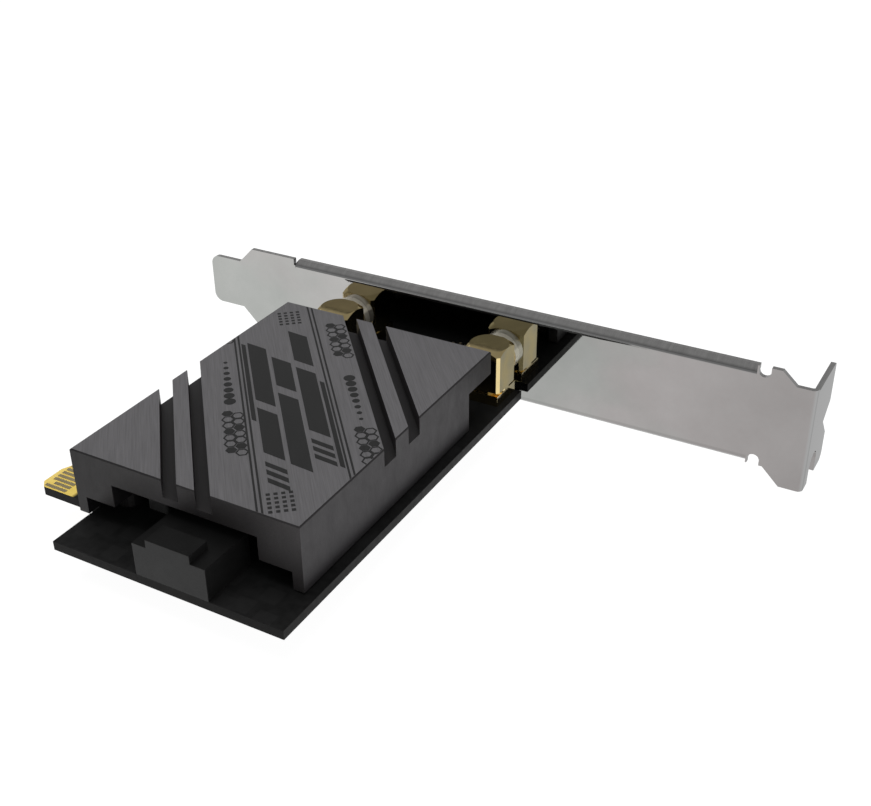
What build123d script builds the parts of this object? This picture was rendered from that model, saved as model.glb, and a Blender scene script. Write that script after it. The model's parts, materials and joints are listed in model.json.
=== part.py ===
"""Wireless network card with a heatsink and a full-height slot bracket, in millimetres.

X runs from the tip of the card edge up the card and along the bracket to its tab.
Y runs from the centre of the key notch towards the bracket.
Z runs from the middle of the board's thickness to the component side.
"""
import os
from math import cos, radians, sin

from build123d import *

os.makedirs("parts", exist_ok=True)

# Circuit board
board_thickness = 1.57
board_height = 55.7
board_front_length = 18.4
board_bracket_gap = 1.32
front_setback = 13.4
key_to_bracket = 57.15

# Card edge
edge_length = 8.25
edge_front_half = 8.15
edge_rear_half = 12.15
edge_corner = 1.6
edge_bevel_length = 1.3
edge_bevel_depth = 0.4
key_width = 1.9
key_depth = 7.4
contact_spacing = 1.0
contact_width = 0.66
contact_length = 4.4
contact_setback = 1.4
short_contact_setback = 2.4
contact_thickness = 0.05
first_contact_distance = 1.5
long_side_contacts = 11
short_side_contacts = 7
short_from_end = 2

# Slot bracket
bracket_length = 120.02
bracket_thickness = 0.86
bracket_width = 18.42
bracket_low = 2.53
tongue_to_edge_tip = 13.8
tongue_width = 9.9
tongue_length = 7.1
tongue_above_low_edge = 5.4
tongue_corner = 1.8
flange_depth = 2.2
flange_bend = 1.4
top_flange_inset = 0.55
flange_start = 20.5
flange_end = 110.2
relief_width = 2.0
relief_depth = 1.9
end_relief_gap = 0.25
small_relief_width = 0.3
small_relief_depth = 1.25
tab_bend = 0.95
tab_length = 11.43
tab_shoulder = 2.3
tab_shoulder_top = 2.5
tab_shoulder_low = 3.05
tab_neck_length = 3.3
tab_low_neck_length = 3.9
tab_drop = 0.5
tab_corner = 1.5
tab_top_corner = 0.4
screw_slot_width = 4.42
screw_slot_offset = 5.4
screw_slot_depth = 4.9
tab_notch_depth = 3.4
tab_notch_width = 6.2
tab_notch_height = 9.0
jack_hole_clearance = 0.08

# Antenna jacks
jack_spacing = 31.3
jack_board_inset = 4.85
jack_axis_height = 6.3
jack_body_width = 7.1
jack_body_depth = 6.6
jack_body_height = 10.0
jack_base_height = 1.9
jack_base_lip = 0.4
jack_corner = 0.5
jack_top_chamfer = 0.7
jack_top_circle = 3.5
jack_neck_diameter = 7.26
jack_neck_height = 0.35
jack_barrel_diameter = 6.35
jack_barrel_length = 11.6
jack_mouth_diameter = 4.6
jack_mouth_depth = 3.0
jack_insulator_diameter = 4.1
jack_contact_diameter = 0.92
jack_tail_width = 0.65
jack_leg_width = 1.0
jack_leg_spacing = 5.08
jack_leg_stickout = 0.9
jack_leg_hole_diameter = 1.6
jack_contact_hole_diameter = 1.1
spacer_ring_diameter = 7.3
spacer_ring_thickness = 1.42
lock_washer_diameter = 9.2
lock_washer_thickness = 0.5
nut_across_flats = 8.0
nut_thickness = 2.2
thread_clearance = 0.04

# Heatsink
sink_board_inset = 1.8
sink_width = 42.1
sink_jack_gap = 1.73
sink_length = 57.6
sink_height = 11.7
sink_leg_gap = 0.3
sink_wall = 1.85
sink_ledge_width = 5.75
sink_ledge_height = 3.4
sink_channel_height = 7.4
sink_rear_step = 8.0
sink_edge_chamfer = 0.2
groove_angle = 49.65
groove_width = 2.2
groove_spacing = 4.7
groove_depth = 3.1
front_grooves_offset = 17.7
rear_grooves_offset = 15.3
boss_diameter = 4.4
boss_end_distance = 6.5
boss_rear_distance = 13.5
screw_diameter = 2.0
screw_length = 5.4
screw_head_diameter = 4.0
screw_head_height = 1.1
screw_recess_width = 1.2
screw_recess_depth = 0.5
screw_hole_clearance = 0.15
screw_tip_clearance = 0.5
thread_engagement_clearance = 0.02

# Radio section under the heatsink
shield_width = 24.0
shield_length = 28.0
shield_centre_y = 17.1
shield_height = 2.15
shield_wall = 0.25
lid_thickness = 0.2
lid_skirt = 1.3
lid_clearance = 0.05
top_pad_thickness = 1.0
top_pad_width = 20.0
top_pad_length = 23.0
radio_chip_size = 12.0
radio_chip_height = 0.9
front_end_size = 4.0
front_end_height = 0.75
front_end_offset_x = 8.6
front_end_offset_y = 7.4
crystal_width = 2.5
crystal_length = 3.2
crystal_height = 0.7
memory_width = 5.0
memory_length = 6.0
memory_height = 0.8

# Power section and small parts on the board
inductor_size = 4.0
inductor_height = 1.9
inductor_corner = 0.5
regulator_size = 3.0
regulator_height = 0.9
large_capacitor_width = 1.6
large_capacitor_length = 3.2
large_capacitor_height = 1.4
small_part_width = 0.55
small_part_length = 1.05
small_part_height = 0.5
coupling_count = 4
coupling_spacing = 1.4
filter_width = 1.3
filter_length = 2.0
filter_height = 0.9
filter_jack_distance = 6.2
matching_spacing = 1.9

# Header for the internal cable
header_board_inset = 12.75
header_width = 13.15
header_depth = 10.0
header_height = 5.6
header_wall = 0.9
header_cavity_depth = 6.0
header_key_width = 7.9
header_key_height = 1.4
header_key_length = 4.1
header_pin_spacing = 2.0
header_pin_columns = 5
header_pin_width = 0.5
header_pin_rear = 0.7
header_pin_foot = 0.8
header_pin_tip_gap = 1.0
cap_face_thickness = 1.0
cap_skirt_length = 3.0
cap_wall = 0.5
cap_clearance = 0.05

# Levels and places worked out from the sizes above
board_top = board_thickness / 2
board_bottom = -board_thickness / 2
board_rear = key_to_bracket - board_bracket_gap
bracket_start = -tongue_to_edge_tip
tab_face = bracket_start + bracket_length
bracket_top = bracket_width - bracket_low
tongue_low = tongue_above_low_edge - bracket_low
tongue_top = tongue_low + tongue_width
right_jack_x = board_height - jack_board_inset
jack_xs = [right_jack_x - jack_spacing, right_jack_x]
jack_rear = key_to_bracket - spacer_ring_thickness
jack_centre_y = jack_rear - jack_body_depth / 2
jack_axis = board_top + jack_axis_height
jack_base_top = board_top + jack_base_height
jack_top = board_top + jack_body_height
barrel_end = jack_rear + jack_barrel_length
washer_low = key_to_bracket + bracket_thickness
nut_low = washer_low + lock_washer_thickness
sink_right = board_height - sink_board_inset
sink_left = sink_right - sink_width
sink_rear_y = jack_centre_y - jack_body_depth / 2 - jack_base_lip - sink_jack_gap
sink_front_y = sink_rear_y - sink_length
sink_middle_x = sink_left + sink_width / 2
sink_middle_y = (sink_front_y + sink_rear_y) / 2
sink_top = board_top + sink_height
sink_ledge = board_top + sink_ledge_height
sink_ceiling = board_top + sink_channel_height
sink_step_y = sink_rear_y - sink_rear_step
boss_inset = sink_wall + sink_ledge_width / 2
boss_xs = [sink_left + boss_inset, sink_right - boss_inset]
boss_ys = [sink_front_y + boss_end_distance, sink_rear_y - boss_rear_distance]
boss_places = [(x, y) for x in boss_xs for y in boss_ys]
fence_top = board_top + shield_height
lid_top = fence_top + lid_thickness
pedestal_low = lid_top + top_pad_thickness
header_front_y = -board_front_length
housing_front_y = header_front_y + cap_face_thickness
header_rear_y = header_front_y + header_depth
header_middle = board_height - header_board_inset - header_width / 2
header_top = board_top + header_height


def row_of_contacts(short_place):
    """Places along Y of the full-length contacts, without the one short contact."""
    rear = [first_contact_distance + contact_spacing * n for n in range(long_side_contacts)]
    front = [-first_contact_distance - contact_spacing * n for n in range(short_side_contacts)]
    return [y for y in rear + front if abs(y - short_place) > contact_spacing / 2]


# Circuit board with the card edge, its key notch and every drilled hole
key_half = key_width / 2
board_outline = [
    (front_setback, -board_front_length),
    (board_height, -board_front_length),
    (board_height, board_rear),
    (edge_length, board_rear),
    (edge_length, edge_rear_half),
    (edge_corner, edge_rear_half),
    (0, edge_rear_half - edge_corner),
    (0, key_half + edge_corner),
    (edge_corner, key_half),
    (key_depth, key_half),
    (key_depth, -key_half),
    (edge_corner, -key_half),
    (0, -key_half - edge_corner),
    (0, edge_corner - edge_front_half),
    (edge_corner, -edge_front_half),
    (front_setback, -edge_front_half),
]
with BuildPart() as circuit_board:
    with BuildSketch(Plane.XY.offset(board_bottom)):
        with BuildLine():
            Polyline(*board_outline, close=True)
        make_face()
        with Locations(*boss_places):
            Circle(screw_diameter / 2 + screw_hole_clearance, mode=Mode.SUBTRACT)
        for jack_x in jack_xs:
            with Locations((jack_x, jack_centre_y)):
                Circle(jack_contact_hole_diameter / 2, mode=Mode.SUBTRACT)
                with GridLocations(jack_leg_spacing, jack_leg_spacing, 2, 2):
                    Circle(jack_leg_hole_diameter / 2, mode=Mode.SUBTRACT)
    extrude(amount=board_thickness)
    for side in (1, -1):
        with BuildSketch(Plane.XZ.offset(-edge_rear_half)):
            with BuildLine():
                Polyline(
                    (0, side * board_top),
                    (edge_bevel_length, side * board_top),
                    (0, side * (board_top - edge_bevel_depth)),
                    close=True,
                )
            make_face()
        extrude(amount=edge_front_half + edge_rear_half, mode=Mode.SUBTRACT)
circuit_board.part.label = "circuit_board"

# Contacts on both faces of the card edge, the presence contact being shorter on each face
contact_end = contact_setback + contact_length
short_length = contact_end - short_contact_setback
short_front = -first_contact_distance - contact_spacing * (short_side_contacts - short_from_end)
short_rear = first_contact_distance + contact_spacing * (long_side_contacts - 1)
contact_faces = {
    "component_side_contacts": (board_top, short_front),
    "solder_side_contacts": (board_bottom - contact_thickness, short_rear),
}
contact_rows = []
for row_name, (row_low, short_y) in contact_faces.items():
    with BuildPart() as contact_row:
        with BuildSketch(Plane.XY.offset(row_low)):
            with Locations(*[(contact_end - contact_length / 2, y) for y in row_of_contacts(short_y)]):
                Rectangle(contact_length, contact_width)
            with Locations((contact_end - short_length / 2, short_y)):
                Rectangle(short_length, contact_width)
        extrude(amount=contact_thickness)
    contact_row.part.label = row_name
    contact_rows.append(contact_row.part)

# Slot bracket, one folded sheet: tongue, flanged plate, neck and screw tab
flange_left = bracket_start + flange_start
flange_right = bracket_start + flange_end
flange_top = bracket_top - top_flange_inset
neck_right = tab_face - tab_bend
neck_top = bracket_top - tab_shoulder
neck_low = -bracket_low - tab_shoulder_low
top_slope_end = neck_right - tab_neck_length + tab_bend
low_slope_end = neck_right - tab_low_neck_length + tab_bend
tongue_end = bracket_start + tongue_length
relief_x = flange_right + relief_width / 2 + end_relief_gap
tab_top = neck_top - tab_drop
tab_reach = bracket_thickness + tab_length
slot_radius = screw_slot_width / 2
slot_end_z = neck_low + screw_slot_depth - slot_radius
notch_z = neck_low + tab_notch_height
plate_outline = [
    (bracket_start, tongue_low),
    (bracket_start, tongue_top),
    (tongue_end, tongue_top),
    (tongue_end + bracket_top - tongue_top, bracket_top),
    (top_slope_end - tab_shoulder_top, bracket_top),
    (top_slope_end, neck_top),
    (neck_right, neck_top),
    (neck_right, neck_low),
    (low_slope_end, neck_low),
    (low_slope_end - tab_shoulder_low, -bracket_low),
    (tongue_end + tongue_above_low_edge, -bracket_low),
    (tongue_end, tongue_low),
]
inner_face = Plane.XZ.offset(-key_to_bracket)
with BuildPart() as bracket:
    with BuildSketch(inner_face) as plate_sketch:
        with BuildLine():
            Polyline(*plate_outline, close=True)
        make_face()
        tongue_corners = plate_sketch.vertices().sort_by(Axis.X)[:2]
        fillet(tongue_corners, tongue_corner)
        flange_middle = (flange_left + flange_right) / 2
        flange_length = flange_right - flange_left
        with Locations((flange_middle, bracket_top)):
            Rectangle(flange_length, 2 * (flange_bend + top_flange_inset), mode=Mode.SUBTRACT)
        with Locations((flange_middle, -bracket_low)):
            Rectangle(flange_length, 2 * flange_bend, mode=Mode.SUBTRACT)
        with Locations((relief_x, bracket_top), (relief_x, -bracket_low)):
            SlotCenterToCenter(
                2 * relief_depth - relief_width,
                relief_width,
                rotation=90,
                mode=Mode.SUBTRACT,
            )
        left_relief_x = flange_left - small_relief_width / 2
        with Locations((left_relief_x, bracket_top), (left_relief_x, -bracket_low)):
            Rectangle(small_relief_width, 2 * small_relief_depth, mode=Mode.SUBTRACT)
        with Locations(*[(x, jack_axis) for x in jack_xs]):
            Circle(jack_barrel_diameter / 2 + jack_hole_clearance, mode=Mode.SUBTRACT)
    extrude(amount=-bracket_thickness)
    for side, flange_face in ((1, flange_top), (-1, -bracket_low)):
        tangent = flange_face - side * flange_bend
        inner_bend = flange_bend - bracket_thickness
        with BuildSketch(Plane.YZ.offset(flange_left)):
            with BuildLine():
                outer = RadiusArc(
                    (key_to_bracket, tangent),
                    (key_to_bracket + flange_bend, flange_face),
                    side * flange_bend,
                )
                Polyline(
                    outer @ 1,
                    (key_to_bracket + flange_depth, flange_face),
                    (key_to_bracket + flange_depth, flange_face - side * bracket_thickness),
                    (key_to_bracket + flange_bend, flange_face - side * bracket_thickness),
                )
                RadiusArc(
                    (key_to_bracket + flange_bend, flange_face - side * bracket_thickness),
                    (key_to_bracket + bracket_thickness, tangent),
                    -side * inner_bend,
                )
                Line((key_to_bracket + bracket_thickness, tangent), (key_to_bracket, tangent))
            make_face()
        extrude(amount=flange_length)
    with BuildSketch(Plane.XY.offset(neck_low)):
        with BuildLine():
            bend_outer = RadiusArc(
                (neck_right, key_to_bracket),
                (tab_face, key_to_bracket + tab_bend),
                -tab_bend,
            )
            Line(bend_outer @ 1, (tab_face - bracket_thickness, key_to_bracket + tab_bend))
            RadiusArc(
                (tab_face - bracket_thickness, key_to_bracket + tab_bend),
                (neck_right, key_to_bracket + bracket_thickness),
                tab_bend - bracket_thickness,
            )
            Line((neck_right, key_to_bracket + bracket_thickness), (neck_right, key_to_bracket))
        make_face()
    extrude(amount=neck_top - neck_low)
    with BuildSketch(Plane.YZ.offset(tab_face - bracket_thickness)):
        with BuildLine():
            Polyline(
                (key_to_bracket + tab_bend, neck_low),
                (key_to_bracket + tab_reach, neck_low),
                (key_to_bracket + tab_reach, notch_z - tab_notch_width * 0.6),
                (key_to_bracket + tab_reach - tab_notch_depth, notch_z),
                (key_to_bracket + tab_reach, notch_z + tab_notch_width * 0.4),
                (key_to_bracket + tab_reach, tab_top),
                (key_to_bracket + tab_bend + tab_drop, tab_top),
                (key_to_bracket + tab_bend, neck_top),
                close=True,
            )
        make_face()
        with Locations((key_to_bracket + screw_slot_offset, slot_end_z)):
            Circle(slot_radius, mode=Mode.SUBTRACT)
        with Locations((key_to_bracket + screw_slot_offset, neck_low)):
            Rectangle(screw_slot_width, 2 * (slot_end_z - neck_low), mode=Mode.SUBTRACT)
    extrude(amount=bracket_thickness)
    far_edges = bracket.edges().filter_by(Axis.X).group_by(Axis.Y)[-1].sort_by(Axis.Z)
    fillet(far_edges[0], tab_corner)
    top_far_edge = bracket.edges().filter_by(Axis.X).group_by(Axis.Y)[-1].sort_by(Axis.Z)[-1]
    fillet(top_far_edge, tab_top_corner)
bracket.part.label = "slot_bracket"

# Antenna jacks: a square body with a turned top and neck, a threaded barrel and four board legs
jack_parts = []
for side_name, jack_x in zip(("left", "right"), jack_xs):
    body_middle = (jack_x, jack_centre_y)
    base_depth = jack_body_depth + jack_base_lip
    with BuildPart() as jack_body:
        with BuildSketch(Plane.XY.offset(jack_base_top)) as block_sketch:
            with Locations(body_middle):
                Rectangle(jack_body_width, jack_body_depth)
            chamfer(block_sketch.vertices(), jack_corner)
        extrude(amount=jack_top - jack_base_top)
        with BuildSketch(Plane.XY.offset(board_top)):
            with Locations((jack_x, jack_centre_y - jack_base_lip / 2)):
                Rectangle(jack_body_width, base_depth)
        extrude(amount=jack_base_height)
        turned_corner = jack_body_width
        turned_drop = jack_top_chamfer * (turned_corner - jack_top_circle)
        with BuildSketch(Plane((jack_x, jack_centre_y, 0), x_dir=(1, 0, 0), z_dir=(0, -1, 0))):
            with BuildLine():
                Polyline(
                    (jack_top_circle, jack_top),
                    (turned_corner, jack_top - turned_drop),
                    (turned_corner, jack_top + turned_drop),
                    (jack_top_circle, jack_top + turned_drop),
                    close=True,
                )
            make_face()
        revolve(axis=Axis((jack_x, jack_centre_y, 0), (0, 0, 1)), mode=Mode.SUBTRACT)
        with BuildSketch(Plane.XZ.offset(-jack_rear)):
            with Locations((jack_x, jack_axis)):
                Circle(jack_barrel_diameter / 2)
        extrude(amount=-jack_barrel_length)
        chamfer(jack_body.faces().sort_by(Axis.Y)[-1].edges(), jack_corner)
        with BuildSketch(Plane.XY.offset(board_top)):
            with Locations(body_middle):
                with GridLocations(jack_leg_spacing, jack_leg_spacing, 2, 2):
                    Rectangle(jack_leg_width, jack_leg_width)
        extrude(amount=-(board_thickness + jack_leg_stickout))
        with BuildSketch(Plane.XY.offset(jack_base_top)):
            with Locations(body_middle):
                Rectangle(2 * jack_body_width, 2 * jack_body_depth)
                Circle(jack_neck_diameter / 2, mode=Mode.SUBTRACT)
        extrude(amount=jack_neck_height, mode=Mode.SUBTRACT)
        with BuildSketch(Plane.XZ.offset(-jack_centre_y)):
            with Locations((jack_x, jack_axis)):
                Circle(jack_insulator_diameter / 2)
        extrude(amount=jack_centre_y - barrel_end, mode=Mode.SUBTRACT)
        with BuildSketch(Plane.XZ.offset(jack_mouth_depth - barrel_end)):
            with Locations((jack_x, jack_axis)):
                Circle(jack_mouth_diameter / 2)
        extrude(amount=-jack_mouth_depth, mode=Mode.SUBTRACT)
        with BuildSketch(Plane.XY.offset(board_top)):
            with Locations(body_middle):
                Circle(jack_insulator_diameter / 2)
        extrude(amount=jack_axis_height, mode=Mode.SUBTRACT)
    jack_body.part.label = side_name + "_antenna_jack_body"
    insulator_end = barrel_end - jack_mouth_depth
    contact_end_y = barrel_end - jack_mouth_depth / 3
    with BuildPart() as jack_contact:
        with BuildSketch(Plane.XZ.offset(-jack_centre_y)):
            with Locations((jack_x, jack_axis)):
                Circle(jack_contact_diameter / 2)
        extrude(amount=jack_centre_y - contact_end_y)
        chamfer(jack_contact.faces().sort_by(Axis.Y)[-1].edges(), jack_contact_diameter / 4)
        with BuildSketch(Plane.XY.offset(board_bottom - jack_leg_stickout)):
            with Locations(body_middle):
                Rectangle(jack_tail_width, jack_tail_width)
        extrude(amount=jack_axis - board_bottom + jack_leg_stickout)
    jack_contact.part.label = side_name + "_antenna_jack_contact"
    with BuildPart() as jack_insulator:
        with BuildSketch(Plane.XZ.offset(-jack_centre_y)):
            with Locations((jack_x, jack_axis)):
                Circle(jack_insulator_diameter / 2)
        extrude(amount=jack_centre_y - insulator_end)
        with BuildSketch(Plane.XY.offset(board_top)):
            with Locations(body_middle):
                Circle(jack_insulator_diameter / 2)
        extrude(amount=jack_axis_height)
        add(jack_contact.part, mode=Mode.SUBTRACT)
    jack_insulator.part.label = side_name + "_antenna_jack_insulator"
    jack_parts += [jack_body.part, jack_contact.part, jack_insulator.part]

# Rings between the jack bodies and the bracket, and the fasteners outside it
ring_hole = jack_barrel_diameter / 2 + thread_clearance
with BuildPart() as jack_rings:
    with BuildSketch(Plane.XZ.offset(-jack_rear)):
        with Locations(*[(x, jack_axis) for x in jack_xs]):
            Circle(spacer_ring_diameter / 2)
            Circle(ring_hole, mode=Mode.SUBTRACT)
    extrude(amount=-spacer_ring_thickness)
jack_rings.part.label = "jack_spacer_rings"

with BuildPart() as lock_washers:
    with BuildSketch(Plane.XZ.offset(-washer_low)):
        with Locations(*[(x, jack_axis) for x in jack_xs]):
            Circle(lock_washer_diameter / 2)
            Circle(ring_hole, mode=Mode.SUBTRACT)
    extrude(amount=-lock_washer_thickness)
lock_washers.part.label = "jack_lock_washers"

with BuildPart() as jack_nuts:
    with BuildSketch(Plane.XZ.offset(-nut_low)):
        with Locations(*[(x, jack_axis) for x in jack_xs]):
            RegularPolygon(nut_across_flats / 2, 6, major_radius=False)
            Circle(ring_hole, mode=Mode.SUBTRACT)
    extrude(amount=-nut_thickness)
jack_nuts.part.label = "jack_hex_nuts"

# Heatsink: a channel-shaped slab with slanted grooves, a pedestal and four screw bosses
sink_leg_low = board_top + sink_leg_gap
channel_left = sink_left + sink_wall + sink_ledge_width
channel_right = sink_right - sink_wall - sink_ledge_width
sink_profile = [
    (sink_left, sink_leg_low),
    (sink_left, sink_top),
    (sink_right, sink_top),
    (sink_right, sink_leg_low),
    (sink_right - sink_wall, sink_leg_low),
    (sink_right - sink_wall, sink_ledge),
    (channel_right, sink_ledge),
    (channel_right, sink_ceiling),
    (channel_left, sink_ceiling),
    (channel_left, sink_ledge),
    (sink_left + sink_wall, sink_ledge),
    (sink_left + sink_wall, sink_leg_low),
]
channel_middle = (channel_left + channel_right) / 2
across_grooves = (sin(radians(groove_angle)), cos(radians(groove_angle)))
groove_distances = [
    centre + step * groove_spacing / 2
    for centre in (-front_grooves_offset, rear_grooves_offset)
    for step in (-1, 1)
]
with BuildPart() as heatsink:
    with BuildSketch(Plane.XZ.offset(-sink_front_y)):
        with BuildLine():
            Polyline(*sink_profile, close=True)
        make_face()
    extrude(amount=-(sink_step_y - sink_front_y))
    with BuildSketch(Plane.XZ.offset(-sink_step_y)):
        with Locations((sink_middle_x, sink_ceiling)):
            Rectangle(sink_width, sink_top - sink_ceiling, align=(Align.CENTER, Align.MIN))
    extrude(amount=-sink_rear_step)
    chamfer(heatsink.faces().sort_by(Axis.Z)[-1].edges(), sink_edge_chamfer)
    with BuildSketch(Plane.XY.offset(sink_top)):
        groove_places = [
            (sink_middle_x + d * across_grooves[0], sink_middle_y + d * across_grooves[1])
            for d in groove_distances
        ]
        with Locations(*groove_places):
            Rectangle(2 * sink_length, groove_width, rotation=-groove_angle)
    extrude(amount=-groove_depth, mode=Mode.SUBTRACT)
    with BuildSketch(Plane.XY.offset(pedestal_low)):
        with Locations((channel_middle, shield_centre_y)):
            Rectangle(top_pad_width, top_pad_length)
    extrude(amount=sink_ceiling - pedestal_low)
    with BuildSketch(Plane.XY.offset(board_top)):
        with Locations(*boss_places):
            Circle(boss_diameter / 2)
    extrude(amount=sink_ledge - board_top)
    tapped_depth = screw_length - board_thickness + screw_tip_clearance
    with BuildSketch(Plane.XY.offset(board_top)):
        with Locations(*boss_places):
            Circle(screw_diameter / 2 + thread_engagement_clearance)
    extrude(amount=tapped_depth, mode=Mode.SUBTRACT)
heatsink.part.label = "heatsink"

# Screws that hold the heatsink from the solder side
with BuildPart() as heatsink_screws:
    with BuildSketch(Plane.XY.offset(board_bottom)):
        with Locations(*boss_places):
            Circle(screw_diameter / 2)
    extrude(amount=screw_length)
    with BuildSketch(Plane.XY.offset(board_bottom)):
        with Locations(*boss_places):
            Circle(screw_head_diameter / 2)
    extrude(amount=-screw_head_height)
    head_rims = heatsink_screws.faces().group_by(Axis.Z)[0].edges()
    chamfer(head_rims, screw_head_height / 3)
    with BuildSketch(Plane.XY.offset(board_bottom - screw_head_height)):
        with Locations(*boss_places):
            Rectangle(2 * screw_recess_width, screw_recess_width / 3)
            Rectangle(screw_recess_width / 3, 2 * screw_recess_width)
    extrude(amount=screw_recess_depth, mode=Mode.SUBTRACT)
heatsink_screws.part.label = "heatsink_screws"


def flat_part(label, size_x, size_y, height, places, low=board_top, corner=0.0):
    """One node of equal flat pieces that stand on the plane at height low."""
    with BuildPart() as piece:
        with BuildSketch(Plane.XY.offset(low)):
            with Locations(*places):
                if corner > 0:
                    RectangleRounded(size_x, size_y, corner)
                else:
                    Rectangle(size_x, size_y)
        extrude(amount=height)
    piece.part.label = label
    return piece.part


# Shield fence and lid over the radio section
shield_middle = (channel_middle, shield_centre_y)
with BuildPart() as shield_fence:
    with BuildSketch(Plane.XY.offset(board_top)):
        with Locations(shield_middle):
            Rectangle(shield_width, shield_length)
            Rectangle(
                shield_width - 2 * shield_wall,
                shield_length - 2 * shield_wall,
                mode=Mode.SUBTRACT,
            )
    extrude(amount=shield_height)
shield_fence.part.label = "shield_fence"

lid_width = shield_width + 2 * (lid_clearance + lid_thickness)
lid_length = shield_length + 2 * (lid_clearance + lid_thickness)
with BuildPart() as shield_lid:
    with BuildSketch(Plane.XY.offset(fence_top)):
        with Locations(shield_middle):
            Rectangle(lid_width, lid_length)
    extrude(amount=lid_thickness)
    with BuildSketch(Plane.XY.offset(fence_top)):
        with Locations(shield_middle):
            Rectangle(lid_width, lid_length)
            Rectangle(
                lid_width - 2 * lid_thickness,
                lid_length - 2 * lid_thickness,
                mode=Mode.SUBTRACT,
            )
    extrude(amount=-lid_skirt)
shield_lid.part.label = "shield_lid"

# Radio section: chip, its pad, front ends, crystal and memory
front_end_x = channel_middle + front_end_offset_x
front_end_ys = (shield_centre_y - front_end_offset_y, shield_centre_y + front_end_offset_y)
beside_chip_x = channel_middle - front_end_offset_x
chip_pad_thickness = shield_height - radio_chip_height
radio_parts = [
    flat_part("radio_chip", radio_chip_size, radio_chip_size, radio_chip_height, [shield_middle]),
    flat_part(
        "chip_thermal_pad",
        radio_chip_size,
        radio_chip_size,
        chip_pad_thickness,
        [shield_middle],
        low=board_top + radio_chip_height,
    ),
    flat_part(
        "heatsink_thermal_pad",
        top_pad_width,
        top_pad_length,
        top_pad_thickness,
        [shield_middle],
        low=lid_top,
    ),
    flat_part(
        "radio_front_ends",
        front_end_size,
        front_end_size,
        front_end_height,
        [(front_end_x, y) for y in front_end_ys],
    ),
    flat_part(
        "reference_crystal",
        crystal_width,
        crystal_length,
        crystal_height,
        [(beside_chip_x, front_end_ys[0])],
    ),
    flat_part(
        "memory_chip",
        memory_width,
        memory_length,
        memory_height,
        [(beside_chip_x, front_end_ys[1])],
    ),
]

# Power section in front of the shield, and small parts along the board
shield_front_y = shield_centre_y - shield_length / 2
power_y = (shield_front_y + header_rear_y) / 2
power_step = inductor_size + regulator_size / 2
power_xs = [channel_left + inductor_size * 0.75 + power_step * n for n in range(4)]
filter_places = [(x - filter_jack_distance, jack_centre_y) for x in jack_xs]
coupling_x = edge_length + small_part_length
power_parts = [
    flat_part(
        "power_inductors",
        inductor_size,
        inductor_size,
        inductor_height,
        [(power_xs[0], power_y)],
        corner=inductor_corner,
    ),
    flat_part(
        "power_regulator",
        regulator_size,
        regulator_size,
        regulator_height,
        [(power_xs[1], power_y)],
    ),
    flat_part(
        "supply_capacitors",
        large_capacitor_width,
        large_capacitor_length,
        large_capacitor_height,
        [(power_xs[2], power_y), (power_xs[2] + 2 * large_capacitor_width, power_y)],
    ),
    flat_part(
        "antenna_filters",
        filter_width,
        filter_length,
        filter_height,
        filter_places,
    ),
    flat_part(
        "coupling_capacitors",
        small_part_length,
        small_part_width,
        small_part_height,
        [(coupling_x, edge_rear_half + coupling_spacing * n) for n in range(coupling_count)],
    ),
    flat_part(
        "matching_parts",
        small_part_width,
        small_part_length,
        small_part_height,
        [(x, y + side * matching_spacing) for x, y in filter_places for side in (-1, 1)],
    ),
]

# Header for the internal cable: keyed housing open to the front, nine pins and a dust cap
header_column_xs = [
    header_middle + header_pin_spacing * (n - (header_pin_columns - 1) / 2)
    for n in range(header_pin_columns)
]
header_rows_z = board_top + (header_height - header_pin_spacing) / 2
header_pin_places = [
    (x, header_rear_y + header_pin_rear + header_pin_spacing * row, header_rows_z + header_pin_spacing * row)
    for row in (0, 1)
    for column, x in enumerate(header_column_xs)
    if not (row == 1 and column == header_pin_columns - 1)
]
housing_depth = header_rear_y - housing_front_y
ridge_length = header_key_length - cap_face_thickness
cavity_rear_y = housing_front_y + header_cavity_depth
with BuildPart() as header_housing:
    with BuildSketch(Plane.XZ.offset(-housing_front_y)):
        with Locations((header_middle, board_top)):
            Rectangle(header_width, header_height, align=(Align.CENTER, Align.MIN))
    extrude(amount=-housing_depth)
    with BuildSketch(Plane.XZ.offset(-housing_front_y)):
        with Locations((header_middle, header_top)):
            Rectangle(header_key_width, header_key_height, align=(Align.CENTER, Align.MIN))
    extrude(amount=-ridge_length)
    with BuildSketch(Plane.XZ.offset(-housing_front_y)):
        with Locations((header_middle, board_top + header_wall)):
            Rectangle(
                header_width - 2 * header_wall,
                header_height - 2 * header_wall,
                align=(Align.CENTER, Align.MIN),
            )
    extrude(amount=-header_cavity_depth, mode=Mode.SUBTRACT)
    with BuildSketch(Plane.XZ.offset(-housing_front_y)):
        with Locations((header_middle, header_top - header_wall)):
            Rectangle(
                header_key_width - 2 * header_wall,
                header_key_height,
                align=(Align.CENTER, Align.MIN),
            )
    extrude(amount=header_wall - ridge_length, mode=Mode.SUBTRACT)
    with BuildSketch(Plane.XZ.offset(-cavity_rear_y)):
        with Locations(*[(x, z) for x, y, z in header_pin_places]):
            Rectangle(header_pin_width, header_pin_width)
    extrude(amount=cavity_rear_y - header_rear_y, mode=Mode.SUBTRACT)
header_housing.part.label = "header_housing"

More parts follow.
